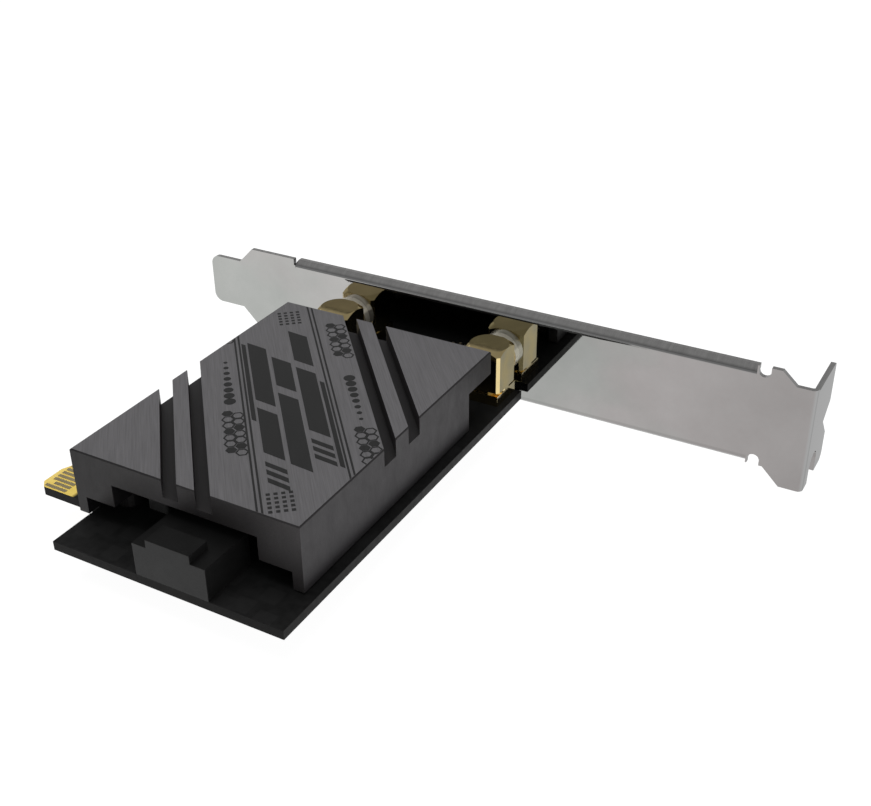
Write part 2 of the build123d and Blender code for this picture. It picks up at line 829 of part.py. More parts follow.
# Each pin leaves the rear of the housing, turns down and ends in a foot soldered to the board
half_pin = header_pin_width / 2
tip_y = housing_front_y + header_pin_tip_gap
with BuildPart() as header_pins:
    for pin_x, drop_y, pin_z in header_pin_places:
        with Locations((pin_x, (tip_y + drop_y + half_pin) / 2, pin_z)):
            Box(header_pin_width, drop_y + half_pin - tip_y, header_pin_width)
        with Locations((pin_x, drop_y, board_top + (pin_z - board_top) / 2)):
            Box(header_pin_width, header_pin_width, pin_z - board_top)
        with Locations((pin_x, drop_y + half_pin + header_pin_foot / 2, board_top + half_pin / 2)):
            Box(header_pin_width, header_pin_foot, half_pin)
header_pins.part.label = "header_pins"

# The cap covers the whole front of the housing and plugs into its cavity
cap_width = header_width - 2 * (header_wall + cap_clearance)
cap_height = header_height - 2 * (header_wall + cap_clearance)
cap_low = board_top + header_wall + cap_clearance
with BuildPart() as header_cap:
    with BuildSketch(Plane.XZ.offset(-header_front_y)):
        with Locations((header_middle, board_top)):
            Rectangle(header_width, header_height, align=(Align.CENTER, Align.MIN))
        with Locations((header_middle, header_top)):
            Rectangle(header_key_width, header_key_height, align=(Align.CENTER, Align.MIN))
    extrude(amount=-cap_face_thickness)
    with BuildSketch(Plane.XZ.offset(-housing_front_y)):
        with Locations((header_middle, cap_low)):
            Rectangle(cap_width, cap_height, align=(Align.CENTER, Align.MIN))
        with Locations((header_middle, cap_low + cap_wall)):
            Rectangle(
                cap_width - 2 * cap_wall,
                cap_height - 2 * cap_wall,
                align=(Align.CENTER, Align.MIN),
                mode=Mode.SUBTRACT,
            )
    extrude(amount=-cap_skirt_length)
header_cap.part.label = "header_dust_cap"

pieces = [circuit_board.part, bracket.part, jack_rings.part, lock_washers.part, jack_nuts.part]
pieces += [heatsink.part, heatsink_screws.part, shield_fence.part, shield_lid.part]
pieces += [header_housing.part, header_pins.part, header_cap.part]
pieces += contact_rows + jack_parts + radio_parts + power_parts
for piece in pieces:
    export_step(piece, f"parts/{piece.label}.step")
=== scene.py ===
"""Looks of the wireless network card: materials, printed pattern, threads, light and camera."""

import json
from math import cos, hypot, pi, radians, sin

import bmesh
import bpy
from mathutils import Matrix, Vector


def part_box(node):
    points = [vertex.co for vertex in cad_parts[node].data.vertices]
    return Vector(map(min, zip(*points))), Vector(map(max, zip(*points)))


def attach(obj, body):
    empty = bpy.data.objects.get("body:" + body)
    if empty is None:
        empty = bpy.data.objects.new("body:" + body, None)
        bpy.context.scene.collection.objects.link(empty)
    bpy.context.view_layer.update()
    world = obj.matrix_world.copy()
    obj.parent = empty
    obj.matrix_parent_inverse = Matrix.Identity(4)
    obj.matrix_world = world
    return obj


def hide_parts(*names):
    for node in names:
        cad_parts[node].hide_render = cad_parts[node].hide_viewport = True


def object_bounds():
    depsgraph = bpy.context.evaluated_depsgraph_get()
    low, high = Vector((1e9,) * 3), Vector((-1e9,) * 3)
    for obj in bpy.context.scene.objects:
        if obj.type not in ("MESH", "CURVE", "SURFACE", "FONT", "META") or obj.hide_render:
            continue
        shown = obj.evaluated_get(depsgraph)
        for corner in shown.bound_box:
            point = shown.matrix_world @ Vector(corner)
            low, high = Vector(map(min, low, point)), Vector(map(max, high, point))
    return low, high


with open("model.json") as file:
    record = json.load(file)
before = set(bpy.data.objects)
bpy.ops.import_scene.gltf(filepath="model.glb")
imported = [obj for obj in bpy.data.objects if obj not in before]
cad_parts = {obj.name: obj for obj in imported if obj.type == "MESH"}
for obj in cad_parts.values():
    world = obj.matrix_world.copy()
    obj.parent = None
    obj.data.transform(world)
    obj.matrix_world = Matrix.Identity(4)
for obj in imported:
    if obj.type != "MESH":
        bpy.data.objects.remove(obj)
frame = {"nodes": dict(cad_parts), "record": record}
cad_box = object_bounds()
MM = 0.001
WHITE = (1, 1, 1, 1)

# Node helpers

SOCKETS = {
    "base_color": "Base Color",
    "metallic": "Metallic",
    "roughness": "Roughness",
    "specular_ior_level": "Specular IOR Level",
    "specular_tint": "Specular Tint",
    "normal": "Normal",
}
SOFTENED_EDGE = 0.04 * MM


class Nodes:
    """A node tree, with short calls for the nodes that the looks share."""

    def __init__(self, tree):
        self.tree = tree

    def feed(self, socket, value):
        """Links another node's output to a socket, or sets the socket to a plain value."""
        if isinstance(value, bpy.types.NodeSocket):
            self.tree.links.new(value, socket)
        else:
            socket.default_value = value

    def add(self, kind, inputs=None, **settings):
        """A new node, with its settings and what goes into its sockets."""
        node = self.tree.nodes.new(kind)
        for key, value in settings.items():
            setattr(node, key, value)
        for key, value in (inputs or {}).items():
            self.feed(node.inputs[key], value)
        return node

    def position(self, scale=(1, 1, 1), turn=0.0):
        """The place on the part, turned about Z and then scaled along each axis."""
        where = self.add("ShaderNodeTexCoord").outputs["Object"]
        inputs = {"Vector": where, "Angle": turn}
        turned = self.add("ShaderNodeVectorRotate", inputs, rotation_type="Z_AXIS").outputs[0]
        return self.add("ShaderNodeVectorMath", {0: turned, 1: scale}, operation="MULTIPLY").outputs[0]

    def noise(self, vector, scale, detail=3.0, roughness=0.5):
        inputs = {"Vector": vector, "Scale": scale, "Detail": detail, "Roughness": roughness}
        return self.add("ShaderNodeTexNoise", inputs).outputs["Fac"]

    def ramp(self, value, *stops):
        """Blends between two stops, each a value and its colour."""
        node = self.add("ShaderNodeValToRGB", {"Fac": value})
        for element, (place, colour) in zip(node.color_ramp.elements, stops):
            element.position = place
            element.color = (*colour, 1.0)
        return node.outputs["Color"]

    def range(self, value, low, high, new_low, new_high):
        """Spreads what lies between low and high over a new range, and holds it at both ends."""
        inputs = {"Value": value, "From Min": low, "From Max": high, "To Min": new_low, "To Max": new_high}
        return self.add("ShaderNodeMapRange", inputs).outputs["Result"]

    def step(self, value, place, width):
        """0 below a place and 1 above it, with a blend of some width between."""
        return self.range(value, place - width / 2, place + width / 2, 0.0, 1.0)

    def maths(self, operation, first, second=0.0):
        return self.add("ShaderNodeMath", {0: first, 1: second}, operation=operation).outputs[0]

    def mix(self, factor, first, second):
        """The first colour where the factor is 0, and the second where it is 1."""
        colours = [c if isinstance(c, bpy.types.NodeSocket) else (*c, 1.0) for c in (first, second)]
        inputs = {0: factor, 6: colours[0], 7: colours[1]}
        return self.add("ShaderNodeMix", inputs, data_type="RGBA").outputs[2]

    def shade(self, colour, factor):
        return self.add("ShaderNodeVectorMath", {0: colour, "Scale": factor}, operation="SCALE").outputs[0]

    def axis(self, vector, name):
        return self.add("ShaderNodeSeparateXYZ", {0: vector}).outputs[name]

    def tilt(self, name):
        """How far a face points along an axis, from -1 to 1."""
        return self.axis(self.add("ShaderNodeNewGeometry").outputs["True Normal"], name)

    def facing(self, name, low=0.4, high=0.8):
        """1 on faces that point either way along an axis, and 0 on the others."""
        return self.range(self.maths("ABSOLUTE", self.tilt(name)), low, high, 0.0, 1.0)

    def toward(self, name, low, high):
        """0 where a face's tilt along an axis is low, and 1 where it is high."""
        return self.range(self.tilt(name), low, high, 0.0, 1.0)


class Shader(Nodes):
    """One node material."""

    def __init__(self, name):
        self.material = bpy.data.materials.new(name)
        self.material.use_nodes = True
        super().__init__(self.material.node_tree)
        self.surface = self.tree.nodes["Principled BSDF"]

    def set(self, **values):
        for key, value in values.items():
            self.feed(self.surface.inputs[SOCKETS[key]], value)

    def bump(self, height, strength, distance):
        """Fine relief, on edges that look a little rounded."""
        edge = self.add("ShaderNodeBevel", {"Radius": SOFTENED_EDGE}, samples=4)
        inputs = {"Height": height, "Strength": strength, "Distance": distance, "Normal": edge.outputs[0]}
        self.set(normal=self.add("ShaderNodeBump", inputs).outputs[0])


def grey(value, warm=0.0):
    return (value * (1 + warm), value, value * (1 - warm))


# Finishes

GROOVE_ANGLE = radians(-49.65)
BRUSHING = (140, 5200, 900)
TOP_DEPTH = 0.5 * MM
TOP_BLEND = 0.2 * MM
GRAZING_TONE = (0.55, 0.55, 0.55, 1)
MASK_START = 8.25 * MM
MASK_FADE_START = MASK_START - 0.9 * MM
MASK_FADE_END = MASK_START - 0.2 * MM
sink_low, sink_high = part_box("heatsink")


def brushed_aluminium():
    """Dark anodised metal, brushed along the grooves on its top, with tones on its sides that are painted
    light and shade, one for each kind of face.
    """
    # Painted shade and light: set tones for the groove walls, the groove floors and the rear faces
    groove_wall_shade = (0.066, 0.062, 0.063)
    groove_floor_shade = (0.044, 0.042, 0.043)
    rear = (0.110, 0.104, 0.106)
    s = Shader("dark_anodised_aluminium")
    streaks = s.noise(s.position(BRUSHING, -GROOVE_ANGLE), 1.0, 4.0, 0.6)
    broad = s.noise(s.position((60, 900, 300), -GROOVE_ANGLE), 1.0, 2.0)
    grain = s.noise(s.position(), 9000, 2.0)
    where = s.position()
    near_top = s.step(s.axis(where, "Z"), sink_high[2] - TOP_DEPTH, TOP_BLEND)
    top = s.maths("MULTIPLY", s.facing("Z", 0.85, 0.95), near_top)
    brushed = s.ramp(streaks, (0.25, (0.158, 0.154, 0.160)), (0.75, (0.245, 0.239, 0.248)))
    # Painted light and shade: the front, the ends, the groove walls, the groove floors and the rear each
    # take their own tone for how light falls on them
    shaded_front = s.ramp(grain, (0.3, (0.028, 0.0262, 0.0268)), (0.7, (0.037, 0.0347, 0.0355)))
    # Painted light and shade: the front runs from darker to lighter along X
    shaded_front = s.shade(shaded_front, s.range(s.axis(where, "X"), sink_low[0], sink_high[0], 0.68, 1.65))
    shaded_ends = s.ramp(grain, (0.3, (0.033, 0.0308, 0.0330)), (0.7, (0.042, 0.0393, 0.0420)))
    sides = s.mix(s.facing("X"), shaded_front, shaded_ends)
    on_groove_wall = s.maths("MULTIPLY", s.facing("X", 0.5, 0.6), s.facing("Y", 0.5, 0.6))
    sides = s.mix(on_groove_wall, sides, groove_wall_shade)
    sides = s.mix(s.facing("Z"), sides, groove_floor_shade)
    sides = s.mix(s.toward("Y", 0.9, 0.95), sides, rear)
    s.set(base_color=s.mix(top, sides, brushed), metallic=0.55, specular_ior_level=0.35)
    s.set(roughness=s.range(s.maths("ADD", streaks, broad), 0.6, 1.4, 0.40, 0.54))
    height = s.maths("MULTIPLY", streaks, top)
    s.bump(s.maths("ADD", height, s.maths("MULTIPLY", grain, 0.3)), 0.20, 0.03 * MM)
    return s.material


def printed_ink():
    """Matt dark ink with a faint grain along the brushing below it."""
    s = Shader("dark_print")
    grain = s.noise(s.position(BRUSHING, -GROOVE_ANGLE), 1.0, 3.0)
    s.set(base_color=s.ramp(grain, (0.3, grey(0.020)), (0.7, grey(0.030))), metallic=0.2)
    s.set(roughness=s.range(grain, 0.3, 0.7, 0.46, 0.58), specular_ior_level=0.3)
    s.bump(grain, 0.10, 0.02 * MM)
    return s.material


def bright_steel():
    """Plated sheet steel: almost a mirror, with cloudy patches, rolling lines and satin flanges, and
    painted shade towards the tab, on its bends and on faces along X.
    """
    warm_start, warm_end = 56 * MM, 72 * MM
    shade_start, shade_end = 30 * MM, 104 * MM
    s = Shader("bright_plated_steel")
    where = s.position()
    clouds = s.noise(where, 72, 5.0, 0.62)
    tint = s.noise(s.position((1, 1, 1.4), 0.6), 26, 3.0)
    lines = s.noise(s.position((30, 1200, 1800)), 1.0, 3.0)
    strokes = s.noise(s.position((900, 120, 120)), 1.0, 4.0, 0.7)
    warm = s.ramp(clouds, (0.32, (0.440, 0.416, 0.410)), (0.68, (0.500, 0.478, 0.472)))
    cool = s.ramp(clouds, (0.32, (0.410, 0.422, 0.405)), (0.68, (0.470, 0.478, 0.462)))
    along = s.axis(where, "X")
    slope = s.maths("SUBTRACT", along, s.axis(where, "Z"))
    tint = s.maths("ADD", tint, s.range(slope, warm_start, warm_end, -0.05, 0.09))
    plate = s.mix(s.range(tint, 0.44, 0.58, 0.0, 1.0), cool, warm)
    # Painted shade: the plate darkens towards the tab and where its lower edge bends, and its upper bend is
    # painted plain grey
    plate = s.shade(plate, s.range(along, shade_start, shade_end, 0.92, 0.64))
    plate = s.shade(plate, s.range(s.toward("Z", -0.04, -0.08), 0.0, 1.0, 1.0, 0.88))
    plate = s.mix(s.toward("Z", 0.20, 0.26), plate, grey(0.26))
    satin = s.ramp(strokes, (0.3, grey(0.60, 0.01)), (0.7, grey(0.82, 0.01)))
    faces = s.mix(s.facing("Z", 0.40, 0.75), plate, satin)
    # Painted shade: faces that point along X, such as the tab, get one plain grey
    s.set(base_color=s.mix(s.facing("X"), faces, grey(0.34)), metallic=1.0, specular_tint=GRAZING_TONE)
    smooth = s.range(clouds, 0.3, 0.7, 0.02, 0.06)
    s.set(roughness=s.maths("ADD", smooth, s.maths("MULTIPLY", s.facing("Z"), 0.16)))
    s.bump(lines, 0.01, 0.01 * MM)
    return s.material


def gold(name, tone=(1.0, 0.80, 0.40), rough=(0.06, 0.16)):
    """Gold plating with painted shade: brightest on its tops, darker on its upright sides, and darkest on
    the flats that face along the bracket.
    """
    upright_shade_share = 0.80
    darker_share = 0.86
    shade_low_shares = (0.56, 0.62, 0.86)
    shade_high_share = 0.72
    s = Shader(name)
    marks = s.noise(s.position((900, 900, 2500)), 1.0, 4.0, 0.6)
    patches = s.noise(s.position(), 260, 3.0)
    darker = tuple(part * darker_share for part in tone)
    lit_gold = s.ramp(patches, (0.3, darker), (0.7, tone))
    # Painted shade: upright faces are darker than the tops
    lit_gold = s.shade(lit_gold, s.range(s.facing("Z"), 0.0, 1.0, upright_shade_share, 1.0))
    # Painted shade: a darker copy of the gold for the flats that face along the bracket
    shaded_low = tuple(part * share for part, share in zip(tone, shade_low_shares))
    shaded_high = tuple(part * shade_high_share for part in tone)
    shaded_gold = s.ramp(patches, (0.3, shaded_low), (0.7, shaded_high))
    s.set(base_color=s.mix(s.facing("X", 0.93, 0.98), lit_gold, shaded_gold), metallic=1.0)
    s.set(roughness=s.range(marks, 0.3, 0.7, *rough))
    s.bump(marks, 0.03, 0.01 * MM)
    return s.material


def bright_metal(name, tone, rough, warm=0.0):
    """Nickel, tin or plain steel: one metal tone with cloudy roughness."""
    s = Shader(name)
    clouds = s.noise(s.position(), 700, 4.0, 0.6)
    tones = s.ramp(clouds, (0.3, grey(tone * 0.9, warm)), (0.7, grey(tone, warm)))
    s.set(base_color=tones, metallic=1.0, roughness=s.range(clouds, 0.3, 0.7, *rough))
    s.bump(clouds, 0.10, 0.02 * MM)
    return s.material


def pale_ring():
    """The pale turned ring between each jack and the bracket."""
    s = Shader("pale_ring")
    marks = s.noise(s.position((900, 2500, 900)), 1.0, 3.0)
    s.set(base_color=s.ramp(marks, (0.3, (0.86, 0.80, 0.66)), (0.7, (0.93, 0.87, 0.74))), metallic=0.7)
    s.set(roughness=s.range(marks, 0.3, 0.7, 0.14, 0.20))
    s.bump(marks, 0.02, 0.01 * MM)
    return s.material


def moulded(
    name, tone, rough=(0.42, 0.55), grain_size=6000, relief=0.25, warm=0.0, gloss=0.5, top=1.0, side=1.0
):
    """Moulded plastic, ceramic or soft pad, with a fine grain, and painted shade on its top and side if
    asked for.
    """
    s = Shader(name)
    grain = s.noise(s.position(), grain_size, 3.0, 0.6)
    patches = s.noise(s.position(), 300, 2.0)
    tones = s.ramp(patches, (0.3, grey(tone * 0.85, warm)), (0.7, grey(tone * 1.1, warm)))
    # Painted shade: the top and the faces along X are darkened by the top and side shares
    tones = s.shade(tones, s.range(s.facing("Z"), 0.0, 1.0, 1.0, top))
    s.set(base_color=s.shade(tones, s.range(s.facing("X"), 0.0, 1.0, 1.0, side)))
    s.set(roughness=s.range(grain, 0.3, 0.7, *rough), specular_ior_level=gloss)
    s.bump(grain, relief, 0.03 * MM)
    return s.material


def board_mask():
    """Black solder mask over copper, cut edges, and bare laminate at the card edge."""
    s = Shader("black_solder_mask")
    where = s.position()
    top = s.facing("Z")
    wobble = s.noise(where, 900, 2.0)
    before_mask = s.range(s.axis(where, "X"), MASK_FADE_START, MASK_FADE_END, 1.0, 0.0)
    laminate = s.maths("MULTIPLY", before_mask, top)
    copper = s.add("ShaderNodeTexVoronoi", {"Vector": where, "Scale": 190.0}, distance="CHEBYCHEV")
    tracks = s.range(copper.outputs["Distance"], 0.28, 0.30, 1.0, 0.0)
    mask = s.ramp(wobble, (0.35, grey(0.0110)), (0.65, grey(0.0150)))
    mask = s.mix(s.maths("MULTIPLY", tracks, 0.5), mask, grey(0.0200))
    layers = s.noise(s.position((1, 1, 60)), 600, 2.0)
    cut = s.ramp(layers, (0.35, grey(0.0025, 0.05)), (0.65, grey(0.0045, 0.08)))
    yellow = s.ramp(wobble, (0.3, (0.90, 0.66, 0.14)), (0.7, (0.98, 0.74, 0.19)))
    s.set(base_color=s.mix(laminate, s.mix(top, cut, mask), yellow), specular_ior_level=0.08)
    s.set(roughness=s.range(wobble, 0.3, 0.7, 0.34, 0.46))
    s.bump(s.maths("ADD", s.maths("MULTIPLY", tracks, 0.6), wobble), 0.12, 0.03 * MM)
    return s.material


def covered_copper():
    """Copper under the solder mask, a little paler than the mask beside it."""
    s = Shader("covered_copper")
    wobble = s.noise(s.position(), 700, 2.0)
    s.set(base_color=s.ramp(wobble, (0.35, grey(0.015, 0.03)), (0.65, grey(0.022, 0.03))))
    s.set(roughness=s.range(wobble, 0.3, 0.7, 0.28, 0.40), specular_ior_level=0.3)
    s.bump(wobble, 0.08, 0.02 * MM)
    return s.material


FINISHES = {
    "dark_anodised_aluminium": brushed_aluminium(),
    "bright_plated_steel": bright_steel(),
    "gold_plate": gold("gold_plate"),
    "contact_gold": gold("contact_gold", (0.98, 0.82, 0.48), (0.18, 0.32)),
    "nickel_plate": bright_metal("nickel_plate", 0.93, (0.10, 0.20), warm=0.03),
    "tinned_steel": bright_metal("tinned_steel", 0.62, (0.25, 0.42)),
    "black_steel": bright_metal("black_steel", 0.05, (0.32, 0.48)),
    "black_solder_mask": board_mask(),
    # The black plastic carries painted shade, darker on its top and on its faces along X
    "black_plastic": moulded("black_plastic", 0.022, gloss=0.2, top=0.36, side=0.45),
    "chip_package": moulded("chip_package", 0.012, (0.5, 0.65), gloss=0.3),
    "white_insulator": moulded("white_insulator", 0.80, (0.35, 0.5), 3000, relief=0.1),
    "grey_pad": moulded("grey_pad", 0.30, (0.7, 0.85), 2500, relief=0.4, warm=-0.08),
    "dark_ceramic": moulded("dark_ceramic", 0.04, (0.6, 0.75), 4000, relief=0.4),
    "tan_ceramic": moulded("tan_ceramic", 0.20, (0.3, 0.45), 4000, relief=0.15, warm=0.30),
    "white_ceramic": moulded("white_ceramic", 0.70, (0.35, 0.5), 4000, relief=0.15, warm=0.03),
}
for entry in frame["record"]["subparts"]:
    shown = frame["nodes"][entry["node"]]
    shown.data.materials.clear()
    shown.data.materials.append(FINISHES[entry["material_slot"]])
frame["nodes"]["jack_spacer_rings"].data.materials[0] = pale_ring()

# Mesh helpers

SAME_POINT = 0.001 * MM
THIN_RISE = 0.012 * MM
RISE_STEP = 0.004


def new_piece(name, work, slot, material=None, sharp=None):
    """Puts a finished bmesh in the scene as a piece that rides on the card, and frees it."""
    mesh = bpy.data.meshes.new(name)
    work.to_mesh(mesh)
    work.free()
    if sharp is not None:
        mesh.set_sharp_from_angle(angle=sharp)
    mesh.materials.append(material or FINISHES[slot])
    piece = bpy.data.objects.new(name, mesh)
    bpy.context.scene.collection.objects.link(piece)
    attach(piece, "root")
    return piece


def box_of(points):
    """The lowest and highest corners of some points."""
    return tuple(tuple(pick(point[axis] for point in points) for axis in range(3)) for pick in (min, max))


def middle_of(low, high):
    """The middle between two corners of a box."""
    return [(a + b) / 2 for a, b in zip(low, high)]


def solids_of(mesh):
    """The lowest and highest corners of each separate solid in a mesh."""
    work = bmesh.new()
    work.from_mesh(mesh)
    bmesh.ops.remove_doubles(work, verts=work.verts, dist=SAME_POINT)
    waiting = set(work.verts)
    boxes = []
    while waiting:
        front = [waiting.pop()]
        found = []
        while front:
            vertex = front.pop()
            found.append(tuple(vertex.co))
            for edge in vertex.link_edges:
                other = edge.other_vert(vertex)
                if other in waiting:
                    waiting.remove(other)
                    front.append(other)
        boxes.append(box_of(found))
    work.free()
    return sorted(boxes)


def clipped(points, low, high):
    """The part of a flat polygon that lies inside a rectangle."""
    for axis, limit, sign in ((0, low[0], 1), (0, high[0], -1), (1, low[1], 1), (1, high[1], -1)):
        kept = []
        for a, b in zip(points, points[1:] + points[:1]):
            inside_a = sign * (a[axis] - limit) >= 0
            inside_b = sign * (b[axis] - limit) >= 0
            if inside_a:
                kept.append(a)
            if inside_a != inside_b:
                t = (limit - a[axis]) / (b[axis] - a[axis])
                kept.append((a[0] + t * (b[0] - a[0]), a[1] + t * (b[1] - a[1])))
        points = kept
        if not points:
            break
    return points


def circle(radii, turn=0.0):
    """Flat points about a middle, with a radius for each corner."""
    angles = [turn + 2 * pi * corner / len(radii) for corner in range(len(radii))]
    return [(radius * cos(angle), radius * sin(angle)) for radius, angle in zip(radii, angles)]


def join_rings(work, first, second):
    """Four-sided faces between two rings with as many points."""
    corners = range(len(first))
    return [work.faces.new((first[n - 1], first[n], second[n], second[n - 1])) for n in corners]


def thin_piece(name, shapes, level, outward, slot, material=None):
    """Thin closed plates from flat outlines in metres, sunk a little into the face that carries them.

    Each plate rises slightly more than the one before, so that no two tops lie in one plane.
    """
    plates = bmesh.new()
    for count, outline in enumerate(shapes):
        top = level + outward * THIN_RISE * (1 + RISE_STEP * count)
        bottom = level - outward * THIN_RISE
        upper = [plates.verts.new((x, y, top)) for x, y in outline]
        lower = [plates.verts.new((x, y, bottom)) for x, y in outline]
        plates.faces.new(upper)
        plates.faces.new(lower[::-1])
        for n in range(len(outline)):
            plates.faces.new((upper[n - 1], lower[n - 1], lower[n], upper[n]))
    bmesh.ops.recalc_face_normals(plates, faces=plates.faces)
    return new_piece(name, plates, slot, material)


def disc(x, y, radius, sides=20, turn=0.0):
    return [(x + across, y + up) for across, up in circle([radius] * sides, turn)]


TRACE_OVERLAP = 0.4


def trace(points, width):
    """A line of constant width through points, as one four-sided piece for each stretch.

    Each piece runs past its ends by a share of half its width, so that the pieces meet at a bend.
    """
    stretches = []
    for (x0, y0), (x1, y1) in zip(points, points[1:]):
        length = hypot(x1 - x0, y1 - y0)
        half_x, half_y = (x1 - x0) / length * width / 2, (y1 - y0) / length * width / 2
        past_x, past_y = half_x * TRACE_OVERLAP, half_y * TRACE_OVERLAP
        stretches.append([
            (x0 - past_x - half_y, y0 - past_y + half_x),
            (x0 - past_x + half_y, y0 - past_y - half_x),
            (x1 + past_x + half_y, y1 + past_y - half_x),
            (x1 + past_x - half_y, y1 + past_y + half_x),
        ])
    return stretches


# Print on the heatsink, in mm from its middle, along and across the grooves

BAR_WIDTH = 3.0
BAR_SPANS = {-4.4: ((-19, 1), (3.5, 17)), -0.7: ((-13, -3), (-0.5, 21)), 3.0: ((-22, -11), (-8.5, 12))}
STUB_LENGTH = 1.3
STUB_STEP = 2.2
LINE_REACH = 40
LINE_WIDTH = 0.32
BROAD_LINE_WIDTH = 0.7
HEX_RADIUS = 1.05
HEX_STEP = HEX_RADIUS * 3 ** 0.5
HEX_SHARE = 0.88
HEX_LINE_WIDTH = 0.26
HEX_PATCHES = ((-30, -10.6, 5), (3, -10.6, 7), (-24, 9.1, 7), (12, 9.1, 6))
DOT_RADIUS = 0.35
DOT_GROWTH = 0.09
SQUARE = 0.6
SQUARE_STEP = 1.1


def bar(start, end, across, width, slant=1.0):
    """A bar parallel to the grooves, its ends cut on a slant."""
    a, b = across - width / 2, across + width / 2
    lean = slant * width / 2
    return [(start - lean, a), (end - lean, a), (end + lean, b), (start + lean, b)]


def broken_bars():
    """Broad broken bars in the middle of the band, and short stubs that go on from two of them."""
    made = []
    for across, spans in BAR_SPANS.items():
        made += [bar(start, end, across, BAR_WIDTH) for start, end in spans]
    for first, across in ((14.5, 3.0), (19.5, -4.4)):
        starts = [first + n * STUB_STEP for n in range(3)]
        made += [bar(start, start + STUB_LENGTH, across, BAR_WIDTH) for start in starts]
    return made


def long_lines():
    """Fine double lines on both sides of the bars, and a shorter broad line beside each pair."""
    fine = [bar(-LINE_REACH, LINE_REACH, across, LINE_WIDTH, 0) for across in (-7.3, -8.0, 5.9, 6.6)]
    return fine + [bar(-20, 6, -6.6, BROAD_LINE_WIDTH), bar(-4, 22, 5.2, BROAD_LINE_WIDTH)]


def honeycomb():
    """Patches of honeycomb along the edges of the band, two cells wide, with some cells filled."""
    made = []
    for start, across, cells in HEX_PATCHES:
        for cell in range(cells):
            for rank in range(2):
                along = start + cell * HEX_STEP + rank * HEX_STEP / 2
                level = across + rank * HEX_RADIUS * 1.5
                corners = disc(along, level, HEX_RADIUS * HEX_SHARE, 6, pi / 6)
                if (cell + rank) % 3 == 0:
                    made.append(corners)
                else:
                    made += trace(corners + corners[:1], HEX_LINE_WIDTH)
    return made


def growing_dots():
    """Rows of dots that grow between the patches."""
    made = []
    for start, step, across in ((-14, 1.9, -10.0), (9, -1.9, 9.8)):
        made += [disc(start + n * step, across, DOT_RADIUS + DOT_GROWTH * n) for n in range(8)]
    return made


def small_squares():
    """A field of small squares at each end."""
    made = []
    for column in range(5):
        for rank in range(4):
            for first, across in ((-31, 0.6), (26.5, -6.2)):
                start = first + column * SQUARE_STEP
                made.append(bar(start, start + SQUARE, across + rank * SQUARE_STEP, SQUARE, 0))
    return made


def on_heatsink(along, across):
    """A point of the print, turned to the grooves and placed on the card, in metres."""
    return (
        sink_middle[0] + (along * cos(GROOVE_ANGLE) - across * sin(GROOVE_ANGLE)) * MM,
        sink_middle[1] + (along * sin(GROOVE_ANGLE) + across * cos(GROOVE_ANGLE)) * MM,
    )


PRINT_MARGIN = 0.25 * MM
sink_middle = middle_of(sink_low, sink_high)
print_low = [edge + PRINT_MARGIN for edge in sink_low]
print_high = [edge - PRINT_MARGIN for edge in sink_high]
printed = broken_bars() + long_lines() + honeycomb() + growing_dots() + small_squares()
outlines = [clipped([on_heatsink(*point) for point in shape], print_low, print_high) for shape in printed]
outlines = [outline for outline in outlines if len(outline) > 2]
thin_piece("heatsink_print", outlines, sink_high[2], 1, "dark_anodised_aluminium", printed_ink())

# Tracks, vias and test pads on the solder side, in mm on the board

board_low, board_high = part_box("circuit_board")
EDGE_MARGIN = 1.2
FRONT_SETBACK = 13.4
SCREW_CLEARANCE = 2.8
CHIP = (36.0, 12.0)
CHIP_REACH = 9
FEED_OFFSET = 4
FEED_WIDTH = 0.7
FEED_STOPS = (38, 41, 50)
VIA_RADIUS = 0.28
VIA_PITCH = 3.1
FENCE_START = 39.5
FENCE_PITCH = 1.6
FENCE_OFFSET = 1.3
CHIP_VIA_PITCH = 1.3
CHIP_VIAS = 6
SMALL_DISC_SIDES = 12
PAD_RADIUS = 0.5
PAD_PITCH = 2.2
jack_lines = [middle_of(*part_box(side + "_antenna_jack_contact"))[0] / MM for side in ("left", "right")]
screw_boxes = solids_of(frame["nodes"]["heatsink_screws"].data)
screw_places = [[place / MM for place in middle_of(*box)] for box in screw_boxes]


def in_metres(shapes):
    return [[(x * MM, y * MM) for x, y in shape] for shape in shapes]


def clear_of_screws(x, y):
    return all(hypot(x - screw[0], y - screw[1]) > SCREW_CLEARANCE for screw in screw_places)


def spaced(start, end, pitch):
    """Places a pitch apart, from a start to just before an end."""
    places = []
    while start < end:
        places.append(start)
        start += pitch
    return places


def track(points, width):
    """A track with round joints at its bends."""
    return trace(points, width) + [disc(x, y, width / 2, SMALL_DISC_SIDES) for x, y in points]


def antenna_feeds():
    """Tracks from the radio chip to the antenna jacks."""
    made = []
    for jack_x, side, bend in zip(jack_lines, (-1, 1), (26, 28)):
        chip_x = CHIP[0] + side * FEED_OFFSET
        stops = [(jack_x, stop) for stop in FEED_STOPS]
        made += track([(chip_x, CHIP[1] + CHIP_REACH), (chip_x, bend)] + stops, FEED_WIDTH)
    return made


def data_pairs():
    """Two pairs of narrow tracks from the card edge towards the radio chip."""
    made = []
    lane_pitch, pair_gap, width = 0.8, 0.7, 0.28
    for lane in range(4):
        shift = lane * lane_pitch + lane // 2 * pair_gap
        points = [(9.2, 2.6 + shift), (15, 2.6 + shift), (22 - shift, 9.6), (28, 9.6 + shift * 0.8)]
        made += track(points, width)
    return made


def supply_tracks():
    """Five tracks from the card edge to the front of the board, and a broad one along it."""
    made = []
    lane_pitch, width, broad_width = 0.9, 0.4, 1.3
    for lane in range(5):
        level, shift = -6.0 + lane, lane * lane_pitch
        made += track([(9.4, level), (13 + shift, level), (24 + shift, -13.0 + lane * 0.6)], width)
    return made + track([(25, -14.5), (40, -14.5), (47, -9), (47, 2)], broad_width)


